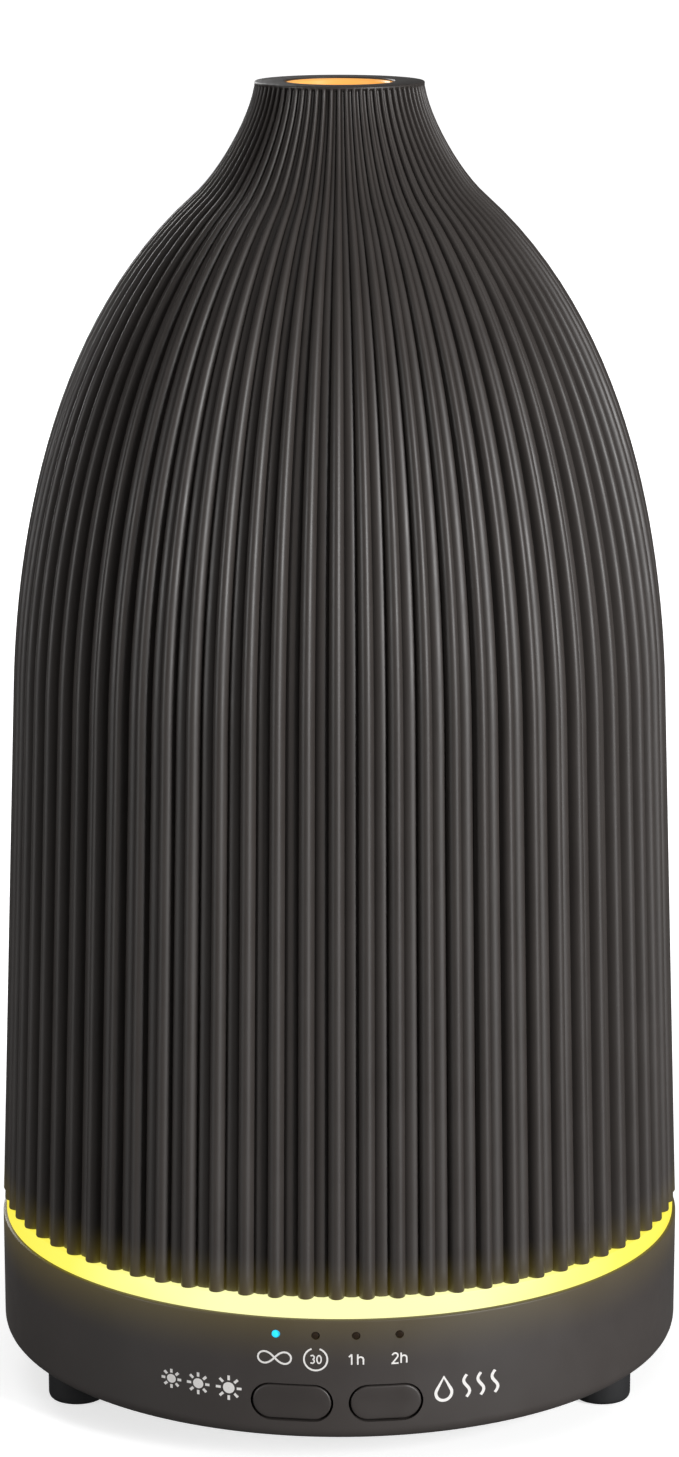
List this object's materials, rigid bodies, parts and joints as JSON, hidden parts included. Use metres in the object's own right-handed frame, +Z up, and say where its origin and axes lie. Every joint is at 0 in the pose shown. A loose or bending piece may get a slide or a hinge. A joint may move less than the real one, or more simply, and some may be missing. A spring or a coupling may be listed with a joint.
{
  "type": "essential oil diffuser",
  "caption": "Ultrasonic essential oil diffuser: a ribbed vase-shaped cover and a tank lid lift off a round base with a glowing ring, two push buttons and rubber feet.",
  "frame": {"origin": "centre of the three feet, on the surface the object stands on", "axes": "+Z up along the cover's axis, the two buttons face -Y, the power socket faces +Y, +X to the right seen from the front"},
  "size_m": [0.1002, 0.1002, 0.1881],
  "materials": {
    "cover_plastic": "matte moulded plastic, dark brown charcoal, fine grain",
    "base_plastic": "matte moulded plastic, dark brown charcoal",
    "dark_plastic": "plain dark moulded plastic",
    "foot_rubber": "soft matte black rubber",
    "glow_ring": "translucent diffuser, lit yellow",
    "white_plastic": "smooth translucent white polypropylene",
    "silicone": "soft translucent silicone",
    "steel": "bright stamped steel",
    "brass": "turned brass",
    "copper_winding": "enamelled copper winding",
    "circuit_board": "green solder mask with bright pads",
    "heat_sink_metal": "extruded aluminium",
    "lit_indicator": "clear light pipe, lit cyan",
    "dark_indicator": "smoked light pipe, unlit",
    "lamp": "surface-mounted lamp with a yellow phosphor",
    "lead_sleeve": "soft cable sleeve"
  },
  "bodies": {
    "base": {"air_duct": "silicone", "base_plate": "dark_plastic", "base_screw_1": "steel", "base_screw_2": "steel", "base_screw_3": "steel", "base_screw_4": "steel", "base_shell": "base_plastic", "board_lead": "lead_sleeve", "capacitor": "dark_plastic", "control_board": "circuit_board", "control_chip": "dark_plastic", "driver_board": "circuit_board", "fan_bearing": "brass", "fan_frame": "dark_plastic", "fan_lead": "lead_sleeve", "fan_stator": "copper_winding", "foot_front_left": "foot_rubber", "foot_front_right": "foot_rubber", "foot_rear": "foot_rubber", "heat_sink": "heat_sink_metal", "indicator_lamp_1": "lamp", "indicator_lamp_2": "lamp", "indicator_lamp_3": "lamp", "indicator_lamp_4": "lamp", "inductor": "copper_winding", "light_board": "circuit_board", "light_pipe_1": "lit_indicator", "light_pipe_2": "dark_indicator", "light_pipe_3": "dark_indicator", "light_pipe_4": "dark_indicator", "light_ring": "glow_ring", "light_switch": "dark_plastic", "mist_switch": "dark_plastic", "power_pin": "brass", "power_socket": "dark_plastic", "retainer_screw_1": "steel", "retainer_screw_2": "steel", "retainer_screw_3": "steel", "ring_lamp_1": "lamp", "ring_lamp_2": "lamp", "ring_lamp_3": "lamp", "ring_lamp_4": "lamp", "ring_lamp_5": "lamp", "ring_lamp_6": "lamp", "transducer_disc": "steel", "transducer_gasket": "silicone", "transducer_lead": "lead_sleeve", "transducer_retainer": "steel", "water_tank": "white_plastic"},
    "cover": {"ribbed_cover": "cover_plastic", "mist_nozzle": "white_plastic"},
    "lid": {"tank_lid": "white_plastic"},
    "light_button": {"light_button": "base_plastic", "light_plunger": "dark_plastic"},
    "mist_button": {"mist_button": "base_plastic", "mist_plunger": "dark_plastic"},
    "fan": {"fan_impeller": "dark_plastic", "fan_shaft": "steel"}
  },
  "joints": [
    {"name": "cover_lift", "type": "slide", "parent": "base", "child": "cover", "axis": [0, 0, 1], "range_m": [0, 0.32]},
    {"name": "lid_lift", "type": "slide", "parent": "base", "child": "lid", "axis": [0, 0, 1], "range_m": [0, 0.16]},
    {"name": "light_press", "type": "slide", "parent": "base", "child": "light_button", "axis": [0, 1, 0], "range_m": [0, 0.0006], "stiffness_N_per_m": 800},
    {"name": "mist_press", "type": "slide", "parent": "base", "child": "mist_button", "axis": [0, 1, 0], "range_m": [0, 0.0006], "stiffness_N_per_m": 800},
    {"name": "fan_spin", "type": "hinge", "parent": "base", "child": "fan", "pos_m": [-0.023, 0, 0.0108], "axis": [0, 0, 1], "continuous": true}
  ],
  "couplings": [
    {"joint": "lid_lift", "follows": "cover_lift", "ratio": 0.5}
  ]
}
